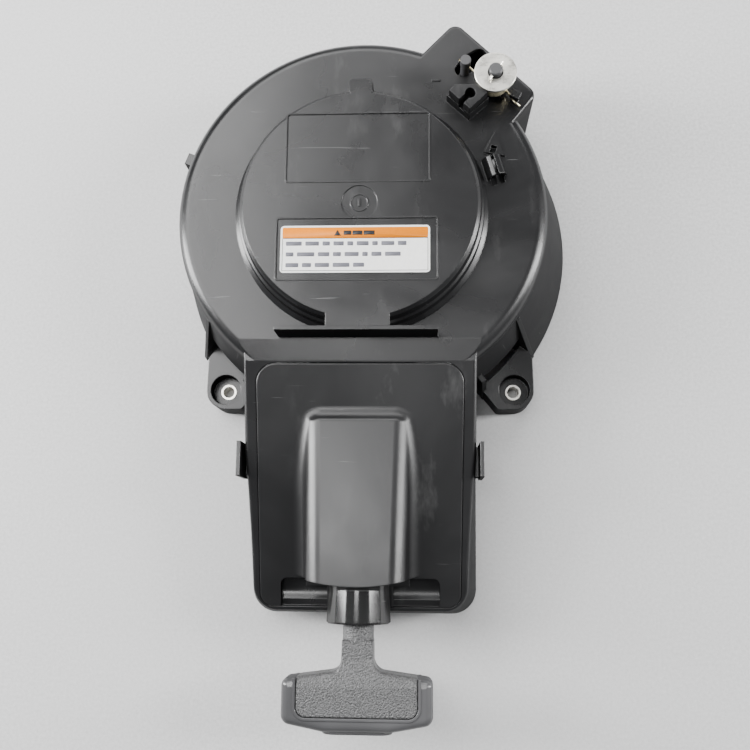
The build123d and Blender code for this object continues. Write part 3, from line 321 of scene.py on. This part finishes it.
def make_materials():
    """One material for each slot of the record, and the label's three inks."""
    return {
        "housing_plastic": moulded_black("housing_plastic", (0.010, 0.010, 0.0105), 0.21, 0.35),
        "cover_plastic": moulded_black("cover_plastic", (0.010, 0.010, 0.0105), 0.28, 0.38, 0.00005),
        "collar_plastic": moulded_black("collar_plastic", (0.012, 0.012, 0.012), 0.08, 0.14, 0.00001),
        "handle_plastic": moulded_black("handle_plastic", (0.060, 0.060, 0.062), 0.16, 0.26),
        "grip_plastic": grained_black("grip_plastic"),
        "reel_plastic": matt_plastic("reel_plastic", (0.055, 0.055, 0.058), 0.5),
        "zinc_steel": metal("zinc_steel", (0.80, 0.78, 0.72), 0.22, 0.42),
        "spring_steel": metal("spring_steel", (0.20, 0.20, 0.21), 0.28, 0.45, (1.0, 1.0, 18.0)),
        "spring_wire": metal("spring_wire", (0.80, 0.72, 0.50), 0.20, 0.36),
        "brass": metal("brass", (0.78, 0.60, 0.30), 0.24, 0.40),
        "bronze_bush": matt_plastic("bronze_bush", (0.62, 0.58, 0.48), 0.42),
        # moulded_black darkens the lever's walls and peg side as painted shade
        "lever_plastic": moulded_black("lever_plastic", (0.045, 0.045, 0.047), 0.30, 0.40),
        "rope_fibre": rope_material(),
        "label_film": printed("label_film", (0.80, 0.80, 0.78)),
        "label_orange": printed("label_orange", (0.66, 0.19, 0.0)),
        "label_ink": printed("label_ink", (0.030, 0.030, 0.032)),
        "label_grey": printed("label_grey", (0.13, 0.13, 0.15)),
    }


def paint_nodes(materials):
    """Every CAD node takes the material of its record slot."""
    for part in frame["record"]["subparts"]:
        obj = NODES[part["node"]]
        obj.data.materials.clear()
        obj.data.materials.append(materials[part["material_slot"]])


# ---------------------------------------------------------------- mesh tools

def mesh_object(name, build, material, body):
    """A piece whose mesh is filled by build(bm); it rides on a body."""
    mesh = bpy.data.meshes.new(name)
    bm = bmesh.new()
    build(bm)
    bmesh.ops.recalc_face_normals(bm, faces=bm.faces)
    bm.to_mesh(mesh)
    bm.free()
    mesh.materials.append(material)
    for polygon in mesh.polygons:
        polygon.use_smooth = True
    obj = bpy.data.objects.new(name, mesh)
    scene.collection.objects.link(obj)
    if body:
        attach(obj, body)
    return obj


def plate(bm, outline, low, high):
    """A flat prism over a plan outline, between two levels."""
    base = bm.faces.new([bm.verts.new((x, y, low)) for x, y in outline])
    grown = bmesh.ops.extrude_face_region(bm, geom=[base])
    bmesh.ops.translate(bm, vec=(0.0, 0.0, high - low),
                        verts=[v for v in grown["geom"] if isinstance(v, bmesh.types.BMVert)])


CORNER_STEPS = 4


def box_outline(low_x, low_y, high_x, high_y, radius=0.0):
    """A rectangle's corners, or a rounded rectangle's outline."""
    if not radius:
        return [(low_x, low_y), (high_x, low_y), (high_x, high_y), (low_x, high_y)]
    centres = [(high_x - radius, high_y - radius), (low_x + radius, high_y - radius),
               (low_x + radius, low_y + radius), (high_x - radius, low_y + radius)]
    return [(x + radius * cos((corner + step / CORNER_STEPS) * pi / 2),
             y + radius * sin((corner + step / CORNER_STEPS) * pi / 2))
            for corner, (x, y) in enumerate(centres) for step in range(CORNER_STEPS + 1)]


def tube(bm, path, radius, sides):
    """A round tube along a list of points, with its rings square to the path and its ends closed."""
    rings = []
    side = None
    for number, point in enumerate(path):
        ahead = (path[min(number + 1, len(path) - 1)] - path[max(number - 1, 0)]).normalized()
        if side is None:
            side = ahead.orthogonal().normalized()
        side = (side - ahead * side.dot(ahead)).normalized()
        up = ahead.cross(side)
        rings.append([bm.verts.new(point + radius * (cos(turn) * side + sin(turn) * up))
                      for turn in (2 * pi * k / sides for k in range(sides))])
    for first, second in zip(rings, rings[1:]):
        for k in range(sides):
            bm.faces.new((first[k], first[(k + 1) % sides], second[(k + 1) % sides], second[k]))
    bm.faces.new(rings[0])
    bm.faces.new(rings[-1])


# ---------------------------------------------------------------- label print

PRINT_T = 0.05 * MM
PRINT_INSET = 1.0 * MM
HEADER_LOW = 7.0 * MM
FRAME_WIDE = 0.28 * MM
SIGN_REACH = 9.5 * MM
SIGN_HALF = 1.9 * MM
SIGN_H = 3.3 * MM
HEADER_WORDS = ((-6.2, 4.2), (-1.4, 5.4), (4.6, 6.0))
LINE_START = 3.0 * MM
LINE_FIRST = 11.2 * MM
LINE_STEP = 6.0 * MM
WORD_H = 2.3 * MM
WORD_GAP = 1.9 * MM
LINE_WORDS = (
    (8.6, 7.4, 4.0, 5.6, 3.2, 6.4, 3.0, 7.0, 4.6),
    (4.2, 9.4, 6.2, 4.4, 7.6, 3.0, 5.4, 8.4),
    (7.0, 5.0, 7.8, 9.0, 6.0),
)


def make_label(materials):
    """The label's print: a coloured header, a thin frame and rows of dashes where words would be."""
    low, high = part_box("warning_label")
    top = high.z
    header_low = high.y - HEADER_LOW

    def header(bm):
        plate(bm, box_outline(low.x + PRINT_INSET, header_low, high.x - PRINT_INSET, high.y - PRINT_INSET,
                              0.8 * MM), top, top + PRINT_T)

    def frame_line(bm):
        left, right, foot = low.x + PRINT_INSET, high.x - PRINT_INSET, low.y + PRINT_INSET
        foot_in, head_in = foot + FRAME_WIDE, header_low - FRAME_WIDE
        plate(bm, box_outline(left, foot, right, foot_in), top, top + PRINT_T)
        plate(bm, box_outline(left, head_in, right, header_low), top, top + PRINT_T)
        plate(bm, box_outline(left, foot_in, left + FRAME_WIDE, head_in), top, top + PRINT_T)
        plate(bm, box_outline(right - FRAME_WIDE, foot_in, right, head_in), top, top + PRINT_T)
        # a caution triangle and three dashes lie on the header
        middle = (low.x + high.x) / 2
        sign_x, sign_y = middle - SIGN_REACH, header_low + 1.3 * MM
        triangle = [(sign_x - SIGN_HALF, sign_y), (sign_x + SIGN_HALF, sign_y), (sign_x, sign_y + SIGN_H)]
        plate(bm, triangle, top + PRINT_T, top + 2 * PRINT_T)
        for start, length in HEADER_WORDS:
            plate(bm, box_outline(middle + start * MM, header_low + 1.7 * MM,
                                  middle + (start + length) * MM, header_low + 4.1 * MM, 0.3 * MM),
                  top + PRINT_T, top + 2 * PRINT_T)

    def dashes(bm):
        for row, words in enumerate(LINE_WORDS):
            x = low.x + LINE_START
            y = high.y - LINE_FIRST - row * LINE_STEP
            for word in words:
                plate(bm, box_outline(x, y, x + word * MM, y + WORD_H, 0.4 * MM), top, top + PRINT_T)
                x += word * MM + WORD_GAP

    mesh_object("label_header", header, materials["label_orange"], "housing")
    mesh_object("label_frame", frame_line, materials["label_ink"], "housing")
    mesh_object("label_dashes", dashes, materials["label_grey"], "housing")


# ---------------------------------------------------------------- rope

ROPE_R = 2.5 * MM
ROPE_Z = 60.0 * MM
ROPE_LEAVES_R = 81.6 * MM
GUIDE_Y = -203.0 * MM
BEND_R = 14.0 * MM
BEND_STEPS = 8


def lead_path():
    """The rope from the sheave's rim, round the guide's mouth, to its knot in the handle."""
    lead = asin(ROPE_LEAVES_R / -GUIDE_Y)
    start = Vector((ROPE_LEAVES_R * cos(lead), -ROPE_LEAVES_R * sin(lead), ROPE_Z))
    corner = Vector((0.0, GUIDE_Y, ROPE_Z))
    along = (corner - start).normalized()
    cut = BEND_R * tan(lead / 2)
    centre = corner + Vector((BEND_R, -cut, 0.0))
    first, last = corner - along * cut, corner + Vector((0.0, -cut, 0.0))
    bend = [centre + (first - centre).lerp(last - centre, step / BEND_STEPS).normalized() * BEND_R
            for step in range(BEND_STEPS + 1)]
    run = [start.lerp(first, step / 30) for step in range(30)]
    end = Vector((0.0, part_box("handle_knot_plate")[0].y, ROPE_Z))
    return run + bend + [last.lerp(end, step / 12) for step in range(1, 13)]


def make_rope(materials):
    """The free rope between the guide and the handle, as one fixed tube."""
    rope = mesh_object("rope_pull", lambda bm: tube(bm, lead_path(), ROPE_R, 16),
                       materials["rope_fibre"], None)
    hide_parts("rope_lead")
    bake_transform(rope)


# ---------------------------------------------------------------- spring of the lock

LOCK = Vector((74.2, 73.9, 0.0)) * MM
PEG = Vector((66.5, 76.6, 87.2)) * MM
PEG_WAY = Vector((-0.746, 0.666, 0.0))
LEG_REACHES = (0.0, 4.0, 8.0, 12.0, 15.8)
HOOK = Vector((88.6, 60.6, 82.4)) * MM
HOOK_LEG_AIM = Vector((82.0, 66.2, 83.0)) * MM
WIRE_R = 0.62 * MM
WIRE_SIDES = 10
COIL_R = 7.9 * MM
COIL_TURNS = 7
COIL_LOW = 83.4 * MM
COIL_HIGH = 94.7 * MM
TURN_STEPS = 40
COIL_START = radians(-30.0)


def make_lock_spring(materials):
    """The lock's coiled wire, its leg through the lever's peg and its leg under the housing's hook."""
    steps = COIL_TURNS * TURN_STEPS

    def coil(bm):
        path = [HOOK, HOOK.lerp(HOOK_LEG_AIM, 0.45)]
        for step in range(steps + 1):
            turn = COIL_START + 2 * pi * step / TURN_STEPS
            level = COIL_LOW + (COIL_HIGH - COIL_LOW) * step / steps
            path.append(Vector((LOCK.x + COIL_R * cos(turn), LOCK.y + COIL_R * sin(turn), level)))
        tube(bm, path, WIRE_R, WIRE_SIDES)

    def leg(bm):
        tube(bm, [PEG + PEG_WAY * (reach * MM) for reach in LEG_REACHES], WIRE_R, WIRE_SIDES)

    wire = mesh_object("lock_spring_coil", coil, materials["spring_wire"], "housing")
    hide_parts("interlock_spring")
    mesh_object("lock_spring_leg", leg, materials["spring_wire"], "lock")


# ---------------------------------------------------------------- floor and light

FLOOR_HALF = 3.0
WORLD_COLOUR = (0.95, 0.97, 1.0, 1.0)
WORLD_STRENGTH = 0.20


def make_stage():
    """A plain pale floor with a fine grit."""
    n = Nodes("floor")
    grit = n.noise(520.0, rough=0.7)
    cloud = n.ramp(n.noise(2.2), [(0.3, (0.40, 0.40, 0.40)), (0.7, (0.50, 0.50, 0.50))])
    colour = n.mix(n.span(grit, 0.0, 1.0, from_low=0.3, from_high=0.7), cloud, (0.56, 0.56, 0.56))
    material = n.finish(colour, n.span(grit, 0.45, 0.62), n.bump(grit, strength=0.3, distance=0.0002))
    mesh = bpy.data.meshes.new("floor")
    bm = bmesh.new()
    bmesh.ops.create_grid(bm, x_segments=2, y_segments=2, size=FLOOR_HALF)
    bm.to_mesh(mesh)
    bm.free()
    mesh.materials.append(material)
    floor = bpy.data.objects.new("floor", mesh)
    scene.collection.objects.link(floor)


def area_light(name, place, aim, size, power):
    """A rectangular soft light that faces a point."""
    data = bpy.data.lights.new(name, "AREA")
    data.shape = "RECTANGLE"
    data.size, data.size_y = size
    data.energy = power
    light = bpy.data.objects.new(name, data)
    light.location = place
    light.rotation_euler = (Vector(aim) - Vector(place)).to_track_quat("-Z", "Y").to_euler()
    scene.collection.objects.link(light)


def make_light():
    """Two low side strips draw the rims; panels above and behind lie in the flat faces' reflections."""
    world = bpy.data.worlds.new("world")
    world.use_nodes = True
    world.node_tree.nodes["Background"].inputs["Color"].default_value = WORLD_COLOUR
    world.node_tree.nodes["Background"].inputs["Strength"].default_value = WORLD_STRENGTH
    scene.world = world
    area_light("left_panel", (-0.86, 0.62, 1.50), (-0.86, 0.62, 0.0), (1.20, 1.20), 38.0)
    area_light("left_low", (-1.50, 0.10, 0.70), (-0.05, -0.03, 0.05), (0.45, 1.30), 64.0)
    area_light("right_low", (1.45, 0.05, 0.72), (0.0, -0.05, 0.05), (0.30, 1.30), 44.0)
    area_light("hood_panel", (-0.12, -0.01, 1.45), (-0.12, -0.01, 0.0), (0.34, 0.20), 4.4)
    area_light("back_panel", (0.10, 1.30, 1.20), (0.0, 0.2, 0.0), (1.40, 0.60), 18.0)


make_camera()
materials = make_materials()
paint_nodes(materials)
make_label(materials)
make_rope(materials)
make_lock_spring(materials)
make_stage()
make_light()
